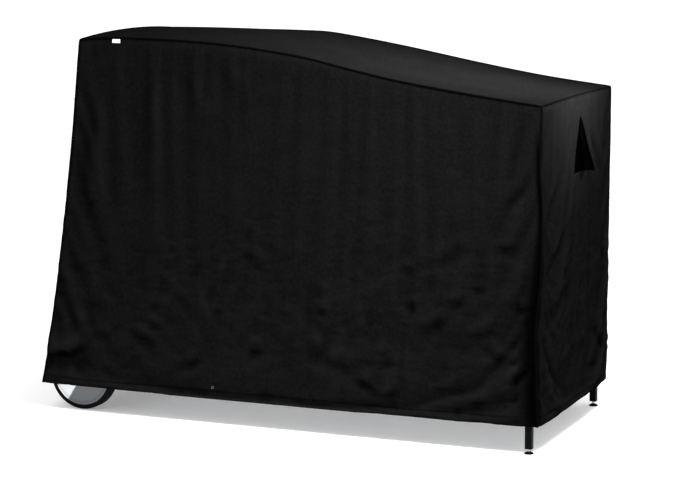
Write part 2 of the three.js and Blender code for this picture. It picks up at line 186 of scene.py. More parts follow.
def object_noise(tree, scale, detail):
    """Noise with so many grains to the metre, fixed to the object, as a factor socket."""
    place = add_node(tree, "ShaderNodeTexCoord").outputs
    grain = add_node(tree, "ShaderNodeTexNoise", {"Scale": scale, "Detail": detail},
                     {"Vector": place["Object"]})
    return grain.outputs["Fac"]


def tint(tree, shader, factor, start, end):
    tree.links.new(blend_colours(tree, factor, start, end), shader.inputs["Base Color"])


def roughen(tree, shader, factor, low, high):
    rough = add_node(tree, "ShaderNodeMapRange", {3: low, 4: high}, {0: factor})
    tree.links.new(rough.outputs[0], shader.inputs["Roughness"])


def raise_surface(tree, shader, factor, strength, distance):
    bump = add_node(tree, "ShaderNodeBump", {"Strength": strength, "Distance": distance}, {"Height": factor})
    tree.links.new(bump.outputs[0], shader.inputs["Normal"])


# Polyester with a polyurethane coating, woven in a plain weave. The yarns are 0.5 mm apart, and are drawn
# 1.5 mm apart so that they show. The coating dulls the yarns and leaves a soft mottle. Hollows get painted
# shade and ridges painted light.
def coated_polyester(settings):
    material, tree, shader = new_material("coated_polyester", 0.9, Specular_IOR_Level=0.0)
    place = add_node(tree, "ShaderNodeTexCoord").outputs
    yarn = 1 / 0.0015
    threads = []
    for direction in ("X", "Y"):
        wave = add_node(tree, "ShaderNodeTexWave",
                        {"wave_type": "BANDS", "bands_direction": direction, "wave_profile": "SIN",
                         "Scale": yarn / 20 * math.pi, "Distortion": 0.6, "Detail": 1.0, "Detail Scale": 1.5},
                        {"Vector": place["UV"]})
        threads.append(wave.outputs["Fac"])
    weave = add_node(tree, "ShaderNodeMath", {"operation": "MAXIMUM"}, {0: threads[0], 1: threads[1]})
    mottle = add_node(tree, "ShaderNodeTexNoise",
                      {"Scale": 95.0, "Detail": 4.0, "Roughness": 0.62}, {"Vector": place["UV"]})
    cloud = add_node(tree, "ShaderNodeTexNoise",
                     {"Scale": 9.0, "Detail": 3.0, "Roughness": 0.55}, {"Vector": place["UV"]})
    tone = add_node(tree, "ShaderNodeMath", {"operation": "MULTIPLY_ADD", 1: 0.72},
                    {0: mottle.outputs["Fac"]})
    tree.links.new(add_node(tree, "ShaderNodeMath", {"operation": "MULTIPLY", 1: 0.28},
                            {0: cloud.outputs["Fac"]}).outputs[0], tone.inputs[2])
    spread = add_node(tree, "ShaderNodeMapRange", {1: 0.32, 2: 0.68}, {0: tone.outputs[0]})
    shade = blend_colours(tree, spread.outputs[0], rgba(settings.fabric_dark), rgba(settings.fabric_light))
    # Painted shade darkens the cloth in its hollows, creases and seams, and painted light makes it paler on
    # its ridges.
    hollow_shade = add_node(tree, "ShaderNodeAttribute", {"attribute_name": "hollow_shade"}).outputs["Fac"]
    sunk = add_node(tree, "ShaderNodeMapRange", {1: 0.0, 2: 1.0, 3: 0.0, 4: 0.95}, {0: hollow_shade})
    raised = add_node(tree, "ShaderNodeMapRange", {1: 0.0, 2: -1.0, 3: 0.0, 4: 0.4}, {0: hollow_shade})
    ridge_painted_light = blend_colours(tree, raised.outputs[0], shade, colour("#191919"))
    tint(tree, shader, sunk.outputs[0], ridge_painted_light, colour("#010101"))
    roughen(tree, shader, mottle.outputs["Fac"], 0.84, 0.96)
    grain = add_node(tree, "ShaderNodeBump", {"Strength": 0.35, "Distance": 0.0004},
                     {"Height": weave.outputs[0]})
    slub = add_node(tree, "ShaderNodeBump", {"Strength": 0.5, "Distance": 0.0012},
                    {"Height": mottle.outputs["Fac"], "Normal": grain.outputs[0]})
    tree.links.new(slub.outputs[0], shader.inputs["Normal"])
    return material


# Woven polyester tape and piping: its ribs are 2.4 mm apart, and it has no shine.
def woven_tape(settings):
    material, tree, shader = new_material("woven_tape", 0.7, Specular_IOR_Level=0.0)
    ribs = object_noise(tree, 420.0, 2.0)
    raise_surface(tree, shader, ribs, 0.4, 0.0006)
    tint(tree, shader, ribs, rgba(settings.tape), colour("#070707"))
    return material


# Black nylon mesh and sewing thread: dull, with a twist about 1 mm long.
def nylon_thread(name, code):
    material, tree, shader = new_material(name, 0.8, base=colour(code), Specular_IOR_Level=0.0)
    raise_surface(tree, shader, object_noise(tree, 900.0, 1.0), 0.3, 0.0003)
    return material


# Sheet of austenitic stainless steel, turned in a lathe: fine rings 0.8 mm apart catch the light.
def turned_stainless(axle_x, axle_z):
    material, tree, shader = new_material("turned_stainless", 0.36, 1.0)
    place = add_node(tree, "ShaderNodeTexCoord").outputs
    centred = add_node(tree, "ShaderNodeMapping", {"Location": (-axle_x, 0.0, -axle_z)},
                       {"Vector": place["Object"]})
    flat = add_node(tree, "ShaderNodeVectorMath", {"operation": "MULTIPLY", 1: (1.0, 0.0, 1.0)},
                    {0: centred.outputs[0]})
    radius = add_node(tree, "ShaderNodeVectorMath", {"operation": "LENGTH"}, {0: flat.outputs[0]})
    rings = add_node(tree, "ShaderNodeTexNoise", {"noise_dimensions": "1D", "Scale": 1250.0, "Detail": 3.0},
                     {"W": radius.outputs["Value"]}).outputs["Fac"]
    # Two pale sweeps across the middle are a painted highlight, for the light that a turned face reflects,
    # and they turn with the wheel. The rest of the face is a darker grey than bare steel, as painted shade in
    # its reflection.
    away = add_node(tree, "ShaderNodeVectorMath", {"operation": "NORMALIZE"}, {0: flat.outputs[0]})
    facing = add_node(tree, "ShaderNodeVectorMath", {"operation": "DOT_PRODUCT", 1: (-0.75, 0.0, -0.66)},
                      {0: away.outputs[0]})
    either = add_node(tree, "ShaderNodeMath", {"operation": "ABSOLUTE"}, {0: facing.outputs["Value"]})
    painted_highlight = add_node(tree, "ShaderNodeMapRange", {1: 0.945, 2: 0.965}, {0: either.outputs[0]})
    tint(tree, shader, painted_highlight.outputs[0], colour("#57595b"), colour("#c3c5c7"))
    roughen(tree, shader, rings, 0.30, 0.46)
    raise_surface(tree, shader, rings, 0.25, 0.0002)
    return material


# Brushed stainless sheet: scratches 170 mm long run along x, about 1 mm apart.
def brushed_stainless():
    material, tree, shader = new_material("brushed_stainless", 0.34, 1.0, colour("#b8babc"))
    place = add_node(tree, "ShaderNodeTexCoord").outputs
    stretched = add_node(tree, "ShaderNodeMapping", {"Scale": (6.0, 900.0, 900.0)},
                         {"Vector": place["Object"]})
    scratches = add_node(tree, "ShaderNodeTexNoise", {"Scale": 1.0, "Detail": 3.0},
                         {"Vector": stretched.outputs[0]}).outputs["Fac"]
    roughen(tree, shader, scratches, 0.26, 0.44)
    raise_surface(tree, shader, scratches, 0.12, 0.0002)
    return material


# Polyester powder coat, baked on steel: satin black with a fine orange peel about 2 mm across.
def powder_coat():
    material, tree, shader = new_material("powder_coat", 0.5, Specular_IOR_Level=0.03)
    peel = object_noise(tree, 480.0, 2.0)
    raise_surface(tree, shader, peel, 0.2, 0.0004)
    tint(tree, shader, peel, colour("#030304"), colour("#060607"))
    return material


# Moulded rubber: matt black, with a faint bloom of grey about 17 mm across and a fine grain.
def moulded_rubber():
    material, tree, shader = new_material("moulded_rubber", 0.8, Specular_IOR_Level=0.05)
    tint(tree, shader, object_noise(tree, 60.0, 4.0), colour("#050505"), colour("#0c0c0c"))
    raise_surface(tree, shader, object_noise(tree, 700.0, 2.0), 0.25, 0.0003)
    return material


# Glass-filled nylon, moulded in a spark-eroded tool: an even grain about 1 mm across, satin.
def moulded_nylon():
    material, tree, shader = new_material("moulded_nylon", 0.6, base=colour("#040405"),
                                          Specular_IOR_Level=0.03)
    raise_surface(tree, shader, object_noise(tree, 900.0, 2.0), 0.3, 0.0003)
    return material


# Bright zinc plate on turned steel: pale, with slight cloudy changes in gloss about 7 mm across.
def zinc_plate():
    material, tree, shader = new_material("zinc_plate", 0.28, 1.0, colour("#cdd0d3"))
    roughen(tree, shader, object_noise(tree, 150.0, 3.0), 0.2, 0.38)
    return material


# Nickel plate on pressed brass, dulled by weather: a dark grey metal with a gloss cloudy every 3 mm.
def dulled_nickel():
    material, tree, shader = new_material("dulled_nickel", 0.45, 1.0, colour("#47484a"))
    roughen(tree, shader, object_noise(tree, 300.0, 3.0), 0.35, 0.6)
    return material


# Cotton-faced label tape: pale, with ribs 0.8 mm apart.
def label_tape():
    material, tree, shader = new_material("label_tape", 0.8)
    place = add_node(tree, "ShaderNodeTexCoord").outputs
    ribs = add_node(tree, "ShaderNodeTexWave", {"wave_type": "BANDS", "bands_direction": "X", "Scale": 390.0},
                    {"Vector": place["Object"]}).outputs["Fac"]
    tint(tree, shader, ribs, colour("#d9d9d5"), colour("#f2f2ef"))
    raise_surface(tree, shader, ribs, 0.4, 0.0003)
    return material


MATERIALS = {}


def finish_named(name):
    """Each finish is made once, when it is first asked for."""
    if name not in MATERIALS:
        settings = bpy.context.scene.grill_cover
        (x0, _, z0), (x1, _, z1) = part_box("front_wheel_disc")
        makers = {
            "cloth": lambda: coated_polyester(settings),
            "tape": lambda: woven_tape(settings),
            # The vent's net is black nylon, drawn darker than the cloth: its extra darkness is painted shade
            # for the shadow inside the vent.
            "mesh": lambda: nylon_thread("vent_nylon", "#010101"),
            "thread": lambda: nylon_thread("sewing_thread", "#0a0a0b"),
            "turned": lambda: turned_stainless((x0 + x1) / 2, (z0 + z1) / 2),
            "brushed": brushed_stainless,
            "paint": powder_coat,
            "rubber": moulded_rubber,
            "nylon": moulded_nylon,
            "zinc": zinc_plate,
            "nickel": dulled_nickel,
            "label": label_tape,
        }
        MATERIALS[name] = makers[name]()
    return MATERIALS[name]


# ---------------------------------------------------------------- modelling helpers
def deselect_all():
    if bpy.context.mode != "OBJECT":
        bpy.ops.object.mode_set(mode="OBJECT")
    bpy.ops.object.select_all(action="DESELECT")


def make_active(piece):
    deselect_all()
    piece.select_set(True)
    bpy.context.view_layer.objects.active = piece


def in_edit_mode(piece, *steps):
    """Run mesh operators on the whole of a piece. Each is given as its name and its options."""
    make_active(piece)
    bpy.ops.object.mode_set(mode="EDIT")
    for name, options in steps:
        bpy.ops.mesh.select_all(action="SELECT")
        getattr(bpy.ops.mesh, name)(**options)
    bpy.ops.object.mode_set(mode="OBJECT")


def weld(distance):
    return "remove_doubles", {"threshold": distance}


FACE_OUT = ("normals_make_consistent", {"inside": False})


def mesh_piece(name, points, edges, faces):
    data = bpy.data.meshes.new(name)
    data.from_pydata(points, edges, faces)
    piece = bpy.data.objects.new(name, data)
    bpy.context.scene.collection.objects.link(piece)
    return piece


def dress(piece, finish, slot, body, *replaced):
    """Give a piece its finish, the body it moves with and the nodes it stands for. The slot is not used."""
    piece.data.materials.clear()
    piece.data.materials.append(finish_named(finish))
    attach(piece, body)
    if replaced:
        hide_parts(*replaced)
    return piece


def apply_modifier(piece, kind, **options):
    make_active(piece)
    bpy.ops.object.modifier_add(type=kind)
    modifier = piece.modifiers[-1]
    for key, value in options.items():
        setattr(modifier, key, value)
    bpy.ops.object.modifier_apply(modifier=modifier.name)


def shade_by_angle(piece, degrees=35):
    make_active(piece)
    bpy.ops.object.shade_smooth_by_angle(angle=math.radians(degrees))


def smoothstep(value, low, high):
    t = min(1.0, max(0.0, (value - low) / (high - low)))
    return t * t * (3 - 2 * t)


def through(points, at):
    """The value at a place on a smooth curve through the points."""
    if at <= points[0][0]:
        return points[0][1]
    if at >= points[-1][0]:
        return points[-1][1]
    i = max(n for n in range(len(points) - 1) if points[n][0] <= at)
    (x0, y0), (x1, y1) = points[i], points[i + 1]
    before = points[max(i - 1, 0)]
    after = points[min(i + 2, len(points) - 1)]
    slope0 = (y1 - before[1]) / (x1 - before[0])
    slope1 = (after[1] - y0) / (after[0] - x0)
    width = x1 - x0
    t = (at - x0) / width
    return ((2 * t**3 - 3 * t**2 + 1) * y0 + (t**3 - 2 * t**2 + t) * width * slope0
            + (3 * t**2 - 2 * t**3) * y1 + (t**3 - t**2) * width * slope1)


# ---------------------------------------------------------------- the cover's shape
def row_height(row, rows, top):
    """Height of a row of cloth: two rows in the hem, and the rest spread up to the seam."""
    if row <= 2:
        return HEM_Z + HEM_HEIGHT * row / 2
    return HEM_Z + HEM_HEIGHT + (top - HEM_Z - HEM_HEIGHT) * (row - 2) / (rows - 2)


def belly(along, up):
    """How far a panel hangs out from its straight place: nothing at its sewn edges."""
    return BELLY * min(1.0, 7 * along * (1 - along)) * min(1.0, 4 * (1 - up))


def long_side(along, row, rows, seam, y):
    """A point of the front or back panel. along runs from 0 at the left edge to 1 at the right."""
    corner = seam[0][0]
    top = through(seam, corner * (1 - along))
    z = row_height(row, rows, top)
    left = through(LEFT_EDGE, z)
    wander = through(CORNER_WANDER, z) * along**8 if y == FRONT_Y else 0.0
    out = belly(along, row / rows) * (1 if y > MID_Y else -1)
    return Vector((RIGHT_X + left * (1 - along) + wander, y + out, z))


def crown(along, across):
    """How far the top bulges up between the front and back seams: most over the hood."""
    return (0.004 + 0.013 * (1 - smoothstep(along, 0.18, 0.62))) * (1 - (2 * across - 1) ** 2)


def cloth_point(side, a, b, rows):
    """A point of a panel of the cover. b is a row on the upright panels, and a fraction on the top."""
    if side == "front":
        return long_side(a, b, rows, FRONT_SEAM, FRONT_Y)
    if side == "back":
        return long_side(a, b, rows, BACK_SEAM, BACK_Y)
    if side == "top":
        front = long_side(a, rows, rows, FRONT_SEAM, FRONT_Y)
        point = front.lerp(long_side(a, rows, rows, BACK_SEAM, BACK_Y), b)
        return point + Vector((0, 0, crown(a, b)))
    end = 1.0 if side == "right" else 0.0
    front = long_side(end, b, rows, FRONT_SEAM, FRONT_Y)
    point = front.lerp(long_side(end, b, rows, BACK_SEAM, BACK_Y), a)
    bulge = LEFT_BULGE * (1 - end) * math.sin(math.pi * b / rows) * min(1.0, 6 * a * (1 - a))
    bulge -= end * belly(a, b / rows) * (1 - near_vent(side, point.y, point.z))
    return point + Vector((-bulge, 0, crown(end, a) * ((b / rows) ** 3)))


def near_vent(side, y, z):
    """1 on the cloth around an end's vent, fading to 0 further off."""
    if side not in VENT_BOXES:
        return 0.0
    low, high = VENT_BOXES[side]
    away = max(abs(y - (low[1] + high[1]) / 2) - (high[1] - low[1]) / 2,
               abs(z - (low[2] + high[2]) / 2) - (high[2] - low[2]) / 2)
    return 1 - smoothstep(away, 0.0, 0.06)


def fold_depth(folds, a, b):
    """How far the listed folds press points in. Each has a soft lip along its upper side."""
    depth = np.zeros(len(a))
    waver = np.array([noise.noise(Vector((x * 18, y * 18, 0.5))) for x, y in zip(a, b)])
    for a0, b0, a1, b1, width, height in folds:
        length = math.hypot(a1 - a0, b1 - b0)
        ua, ub = (a1 - a0) / length, (b1 - b0) / length
        # Each fold runs out softly past the ends that are listed.
        tail = 0.18 * length
        along = (a - a0) * ua + (b - b0) * ub + tail
        length += 2 * tail
        across = ((b - b0) * ua - (a - a0) * ub) / width + 0.4 * waver
        inside = np.minimum(along, length - along)
        taper = np.clip(2.6 * inside / length, 0, 1) ** 1.5
        depth += height * taper * (np.exp(-across**2) - 0.55 * np.exp(-((across - 1.7) / 0.9) ** 2))
    return depth


def crumple(a, b, seed):
    """Small irregular creases left by folding: sharp where the noise turns over."""
    total = 0.0
    warp = 0.6 * noise.noise(Vector((a * 4, b * 4, seed + 3)))
    patch = 0.6 + noise.noise(Vector((a * 2.4, b * 3.4, seed + 11)))
    for scale, size in ((3.0, 0.45), (6.5, 0.45 * patch), (12.0, 0.42 * patch), (20.0, 0.26 * patch)):
        n = noise.noise(Vector((a * scale + warp, b * scale * 1.7 + warp * 2, seed + scale)))
        total += size * (0.5 - abs(n) * 2)
    return total


def crease_shell(shell, side_of, outward, share):
    """Press a share of the folds and creases into the panels, along each point's outward direction."""
    vertices = shell.data.vertices
    for number, side in enumerate((*SIDES, "top")):
        own = [v for v in vertices if side_of[v.index] == side]
        along = np.array([v.co.x - RIGHT_X for v in own])
        deep = np.array([v.co.y - FRONT_Y for v in own])
        height = np.array([v.co.z for v in own])
        a = deep if side in ("right", "left") else along
        b = deep if side == "top" else height
        pressed = fold_depth(FOLDS.get(side, ()), a, b)
        for vertex, x, y, z, depth in zip(own, a, b, height, pressed):
            low = 0.0 if side == "top" else 1 - smoothstep(z, 0.30, 0.66)
            push = (0.0022 + 0.0066 * low) * crumple(x, y, 1 + 10 * number) - depth * 1.15
            push += 0.0045 * noise.noise(Vector((x * 2.3, y * 1.6, 7 + number)))
            if side != "top":
                push *= 0.12 + 0.88 * smoothstep(z, HEM_Z + 0.01, HEM_Z + 0.09)
            vertex.co += outward[vertex.index] * push * share * (1 - near_vent(side, vertex.co.y, z))


def build_shell(settings):
    """The whole cover as one skin of grids, sewn together along their edges."""
    step = settings.cloth_step
    rows = max(8, round((FRONT_SEAM[2][1] - HEM_Z) / step))
    columns = round(-LEFT_EDGE[0][1] / step)
    across = round(DEPTH / step)
    grids = []
    for side in (*SIDES, "top"):
        wide = columns if side in ("front", "back", "top") else across
        high = across if side == "top" else rows
        deselect_all()
        bpy.ops.mesh.primitive_grid_add(x_subdivisions=wide, y_subdivisions=high, size=1, calc_uvs=True)
        grid = bpy.context.object
        grid.data.materials.clear()
        for name in CLOTH:
            mark = bpy.data.materials.get(name) or bpy.data.materials.new(name)
            grid.data.materials.append(mark)
        for vertex in grid.data.vertices:
            a, b = vertex.co.x + 0.5, vertex.co.y + 0.5
            vertex.co = cloth_point(side, a, b if side == "top" else round(b * high), rows)
        # The cloth's own map is in metres, so that its weave has one scale on every panel.
        size = (-LEFT_EDGE[0][1] if wide == columns else DEPTH, DEPTH if side == "top" else 1.02)
        for loop in grid.data.uv_layers[0].data:
            loop.uv = (loop.uv[0] * size[0], loop.uv[1] * size[1])
        hem_top = HEM_Z + HEM_HEIGHT * 1.02
        for face in grid.data.polygons:
            hem = side != "top" and max(grid.data.vertices[v].co.z for v in face.vertices) < hem_top
            face.material_index = CLOTH.index(side + ("_hem" if hem else "_panel"))
            face.use_smooth = True
        if side in ("back", "left"):
            grid.data.flip_normals()
        grids.append(grid)
    deselect_all()
    for grid in grids:
        grid.select_set(True)
    bpy.context.view_layer.objects.active = grids[0]
    bpy.ops.object.join()
    shell = bpy.context.object
    shell.name = "cover_shell"
    in_edit_mode(shell, weld(0.0005), FACE_OUT)
    return shell


def side_name(face):
    return CLOTH[face.material_index].rsplit("_", 1)[0]


def sides_of_points(shell):
    """The side that each point belongs to, or None on a seam between two sides."""
    found = [set() for _ in shell.data.vertices]
    for face in shell.data.polygons:
        for v in face.vertices:
            found[v].add(side_name(face))
    return [next(iter(sides)) if len(sides) == 1 else None for sides in found]


def drape(shell, side_of, settings):
    """Let the cloth hang from its seams, with a little slack, and settle into its own folds."""
    group = shell.vertex_groups.new(name="sewn")
    seam = [i for i, side in enumerate(side_of) if side is None]
    group.add(seam, 1.0, "REPLACE")
    hem = [v.index for v in shell.data.vertices if v.co.z < HEM_Z + 0.001 and side_of[v.index]]
    group.add(hem, 0.7, "REPLACE")
    stiff = [v.index for v in shell.data.vertices if near_vent(side_of[v.index], v.co.y, v.co.z) > 0.9]
    group.add(stiff, 1.0, "REPLACE")
    make_active(shell)
    bpy.ops.object.modifier_add(type="CLOTH")
    modifier = shell.modifiers[-1]
    cloth = modifier.settings
    cloth.quality = 6
    cloth.mass = 0.35
    cloth.tension_stiffness = 30
    cloth.compression_stiffness = 30
    cloth.shear_stiffness = 10
    cloth.bending_stiffness = 0.6
    cloth.air_damping = 2
    cloth.vertex_group_mass = group.name
    cloth.shrink_min = -settings.slack
    cloth.effector_weights.gravity = 0.6
    modifier.collision_settings.use_collision = False
    modifier.collision_settings.use_self_collision = False
    scene = bpy.context.scene
    for number in range(1, settings.settle_frames + 1):
        scene.frame_set(number)
    bpy.ops.object.modifier_apply(modifier=modifier.name)
    scene.frame_set(1)


def hold_shape(shell, flat, outward, side_of):
    """Keep the settled cloth near its cut shape, so that it neither reaches the cart nor balloons."""
    for vertex, place, direction, side in zip(shell.data.vertices, flat, outward, side_of):
        shift = vertex.co - place
        push = shift.dot(direction)
        room = max(0.0, abs(place.y - MID_Y) - DEPTH / 2, place.x - RIGHT_X)
        limit = OUTWARD_LIMIT if push > 0 else (TOP_LIMIT if side == "top" else INWARD_LIMIT + room)
        held = limit * math.tanh(push / limit)
        vertex.co += direction * (held - push)


def mark_hollows(shell, outward):
    """Note on each point how deep it lies below its neighbours: 1 in a sharp valley, -1 on a ridge."""
    data = shell.data
    count = len(data.vertices)
    places = np.empty(count * 3)
    data.vertices.foreach_get("co", places)
    ends = np.empty(len(data.edges) * 2, dtype=int)
    data.edges.foreach_get("vertices", ends)
    first, second = ends[0::2], ends[1::2]

    def around(values):
        total = np.zeros_like(values)
        np.add.at(total, first, values[second])
        np.add.at(total, second, values[first])
        return total / np.bincount(ends, minlength=count).reshape(-1, *[1] * (values.ndim - 1))

    places = places.reshape(-1, 3)
    # Two distances are added, so that both the small creases and the broad folds count.
    wide = around(around(around(places)))
    depth = ((wide - places) * np.array([tuple(v) for v in outward])).sum(axis=1)
    seam = np.array([side is None for side in sides_of_points(shell)])
    depth[seam] = 0.0
    depth = (depth + around(depth)) / 2
    # The cloth's colour turns this into painted shade in the hollows and painted light on the ridges.
    hollow_shade = data.attributes.new("hollow_shade", "FLOAT", "POINT")
    hollow_shade.data.foreach_set("value", np.clip(depth / HOLLOW_FULL, -1, 1))


def crinkle(shell):
    """Press fine level crinkles into the sides, 10 to 40 mm long and denser towards the hem."""
    data = shell.data
    hollow_shade = data.attributes["hollow_shade"].data
    normals = [v.normal.copy() for v in data.vertices]
    for vertex, normal in zip(data.vertices, normals):
        if abs(normal.z) > 0.6:
            continue
        run, z = vertex.co.x + vertex.co.y, vertex.co.z
        patch = 0.7 + 0.5 * noise.noise(Vector((run * 7, z * 9, 21)))
        bend = 0.35 * noise.noise(Vector((run * 9, z * 9, 31)))
        turn = sum(noise.noise(Vector((run * 19 * k + bend, z * 52 * k + 3 * bend, 13 + k))) / k
                   for k in (1, 2))
        groove = smoothstep(turn, -0.20, 0.55) * patch * (0.2 + 0.8 * (1 - smoothstep(z, 0.35, 0.95)))
        groove *= smoothstep(math.hypot(vertex.co.x - RIGHT_X, vertex.co.y - FRONT_Y), 0.02, 0.06)
        vertex.co -= normal * CRINKLE_DEPTH * groove
        # The crinkles' grooves are also darkened with painted shade.
        mark = hollow_shade[vertex.index]
        mark.value = min(1.0, mark.value + 0.3 * groove)


def pucker_seams(shell):
    """Small ripples where the stitches draw the cloth together, dying out away from each seam."""
    data = shell.data
    side_of = sides_of_points(shell)
    seam = [v for v in data.vertices if side_of[v.index] is None]
    tree = kdtree.KDTree(len(seam))
    for n, vertex in enumerate(seam):
        tree.insert(vertex.co, n)
    tree.balance()
    reach = 0.05
    hollow_shade = data.attributes["hollow_shade"].data
    moves = []
    for vertex in data.vertices:
        if side_of[vertex.index] is None:
            # The seam line itself is given painted shade.
            hollow_shade[vertex.index].value = 0.7
            continue
        near, _, distance = tree.find(vertex.co)
        if distance > reach:
            continue
        side = side_of[vertex.index]
        upright = side != "top" and abs(near.z - vertex.co.z) < 0.02
        run = near.z if upright else near.x + near.y
        ripple = noise.noise(Vector((run * 38, distance * 8, 5)))
        ripple += 0.5 * noise.noise(Vector((run * 75, 0, 9)))
        corner = near.x > RIGHT_X - 0.03 and near.y < FRONT_Y + 0.02 and upright
        low = 1 - smoothstep(near.z, 0.35, 0.66)
        width = 0.006 + 0.011 * low if corner and side == "front" else 0.004 + 0.004 * low
        valley = math.exp(-((distance - width) / width) ** 2)
        sunk = 0.0065 * (1 - smoothstep(near.z, 0.62, 0.90)) * valley if corner else 0.0008 * valley
        fade = (1 - distance / reach) ** 2 * min(1.0, distance / 0.006)
        moves.append((vertex, vertex.normal * (0.0016 * ripple * fade - sunk)))
        # Painted shade: a dark band beside the front right corner's seam, below about 0.94 m, and a little in
        # the valley beside every other seam.
        corner_painted_shade = math.exp(-(distance / (2.4 * width)) ** 4)
        mark = hollow_shade[vertex.index]
        if corner:
            mark.value = max(mark.value, corner_painted_shade * (1 - smoothstep(near.z, 0.80, 0.94)))
        else:
            mark.value = min(1.0, mark.value + 0.3 * valley)
    for vertex, move in moves:
        vertex.co += move


def seams_of(shell):
    """Every edge between two different cloth pieces, listed under the pair of their names."""
    data = shell.data
    owner = {}
    seams = {}
    loop_edges = [loop.edge_index for loop in data.loops]
    for face in data.polygons:
        for edge in loop_edges[face.loop_start:face.loop_start + face.loop_total]:
            other = owner.setdefault(edge, face.material_index)
            if other != face.material_index:
                pair = frozenset((CLOTH[other], CLOTH[face.material_index]))
                seams.setdefault(pair, []).append(tuple(data.edges[edge].vertices))
    return seams


def seam_path(shell, seams, first, second):
    """The seam between two sets of cloth pieces, in order, as pairs of a place and the way outwards."""
    nexts = {}
    for pair, edges in seams.items():
        if not (pair & first and pair & second):
            continue
        for a, b in edges:
            nexts.setdefault(a, []).append(b)
            nexts.setdefault(b, []).append(a)
    path = [min(v for v, near in nexts.items() if len(near) == 1)]
    while True:
        ahead = [v for v in nexts[path[-1]] if len(path) < 2 or v != path[-2]]
        if not ahead:
            break
        path.append(ahead[0])
    points = shell.data.vertices
    return [(points[v].co.copy(), points[v].normal.copy()) for v in path]


def cord_along(name, points, radius, sides=10):
    """A round cord with closed ends along a run of points."""
    curve = bpy.data.curves.new(name, "CURVE")
    curve.dimensions = "3D"
    curve.bevel_depth = radius
    curve.bevel_resolution = sides // 4
    curve.use_fill_caps = True
    spline = curve.splines.new("POLY")
    spline.points.add(len(points) - 1)
    for point, place in zip(spline.points, points):
        point.co = (*place, 1.0)
    piece = bpy.data.objects.new(name, curve)
    bpy.context.scene.collection.objects.link(piece)
    make_active(piece)
    bpy.ops.object.convert(target="MESH")
    bpy.ops.object.shade_smooth()
    return bpy.context.object


def smooth_run(points, passes=2):
    """The same run with its small kinks taken out. Its ends stay."""
    for _ in range(passes):
        middle = [(a + b * 2 + c) / 4 for a, b, c in zip(points, points[1:], points[2:])]
        points = [points[0], *middle, points[-1]]
    return points


def lathe(name, profile, centre, facing, steps=96):
    """Spin a profile of (radius, depth) about the line through centre along facing, a row axis."""
    axis = Vector(facing)
    out = Vector((0, 0, 1)) if abs(axis.z) < 0.5 else Vector((1, 0, 0))
    points = [Vector(centre) + out * r + axis * d for r, d in profile]
    closed = profile[0][0] > 1e-6 and profile[-1][0] > 1e-6
    edges = [(i, i + 1) for i in range(len(points) - 1)]
    if closed:
        edges.append((len(points) - 1, 0))
    piece = mesh_piece(name, points, edges, [])
    whole_turn = {"steps": steps, "angle": 2 * math.pi, "center": centre, "axis": axis,
                  "use_normal_flip": False}
    in_edit_mode(piece, ("spin", whole_turn), weld(0.00001), FACE_OUT)
    shade_by_angle(piece, 32)
    return piece


def lay_stitches(name, points, lift):
    """A row of stitches along a run of (place, outward) pairs. Each is a short six-sided bead."""
    verts, faces = [], []
    walked, target = 0.0, STITCH_PITCH / 2
    for (p, n), (q, _) in zip(points, points[1:]):
        span = (q - p).length
        while target < walked + span:
            along = (q - p).normalized()
            middle = p + along * (target - walked) + n * lift
            side = along.cross(n).normalized()
            base = len(verts)
            for shift, size in ((-0.5, 0.35), (-0.25, 1.0), (0.25, 1.0), (0.5, 0.35)):
                for k in range(6):
                    turn = k * math.pi / 3
                    spoke = side * math.cos(turn) + n * math.sin(turn)
                    verts.append(middle + along * (STITCH_LENGTH * shift) + spoke * (THREAD_RADIUS * size))
            faces.append([base + k for k in range(5, -1, -1)])
            faces.append([base + 18 + k for k in range(6)])
            for ring in (0, 6, 12):
                for k in range(6):
                    j = (k + 1) % 6
                    faces.append([base + ring + k, base + ring + j, base + ring + 6 + j, base + ring + 6 + k])
            target += STITCH_PITCH
        walked += span
    piece = mesh_piece(name, verts, [], faces)
    in_edit_mode(piece, FACE_OUT)
    bpy.ops.object.shade_smooth()
    return piece


def beside(path, panel, away, shift):
    """The path moved over a panel by shift, along the direction that away gives, and laid on its face."""
    moved = []
    for place, _ in path:
        found, spot, normal, _ = panel.closest_point_on_mesh(place + away * shift)
        if found:
            moved.append((spot, normal))
    return moved


def triangle_face(name, first, second, apex, rows, lift=None):
    """A three-cornered sheet: rows run from the apex down to the edge from first to second."""
    deselect_all()
    bpy.ops.mesh.primitive_grid_add(x_subdivisions=rows, y_subdivisions=rows, size=1, calc_uvs=True)
    piece = bpy.context.object
    piece.name = piece.data.name = name
    for vertex in piece.data.vertices:
        s, t = vertex.co.x + 0.5, vertex.co.y + 0.5
        vertex.co = apex.lerp(first.lerp(second, s), t) + (lift(s, t) if lift else Vector())
    for loop in piece.data.uv_layers[0].data:
        loop.uv = (loop.uv[0] * (second - first).length, loop.uv[1] * (apex - first).length)
    in_edit_mode(piece, weld(0.00005), FACE_OUT)
    bpy.ops.object.shade_smooth()
    return piece


def net(name, first, second, apex, pitch, strand):
    """A square net of strands that fills a triangle, with a seam allowance round it."""
    across = (second - first).normalized()
    upright = ((apex - first) - across * (apex - first).dot(across)).normalized()
    wide, tall = (second - first).length, (apex - first).dot(upright)
    lean = (apex - first).dot(across)
    columns, rows = round((wide + 2 * NET_SEAM) / pitch), round((tall + 2 * NET_SEAM) / pitch)
    points = [first + across * (i * pitch - NET_SEAM) + upright * (j * pitch - NET_SEAM)
              for j in range(rows + 1) for i in range(columns + 1)]
    faces = []
    for j in range(rows):
        up = (j + 0.5) * pitch - NET_SEAM
        low = lean * up / tall - NET_SEAM
        high = wide + (lean - wide) * up / tall + NET_SEAM
        for i in range(columns):
            if low < (i + 0.5) * pitch - NET_SEAM < high:
                corner = j * (columns + 1) + i
                faces.append([corner, corner + 1, corner + columns + 2, corner + columns + 1])
    piece = mesh_piece(name, points, [], faces)
    in_edit_mode(piece, ("delete_loose", {}))
    apply_modifier(piece, "WIREFRAME", thickness=strand, use_even_offset=False)
    return piece


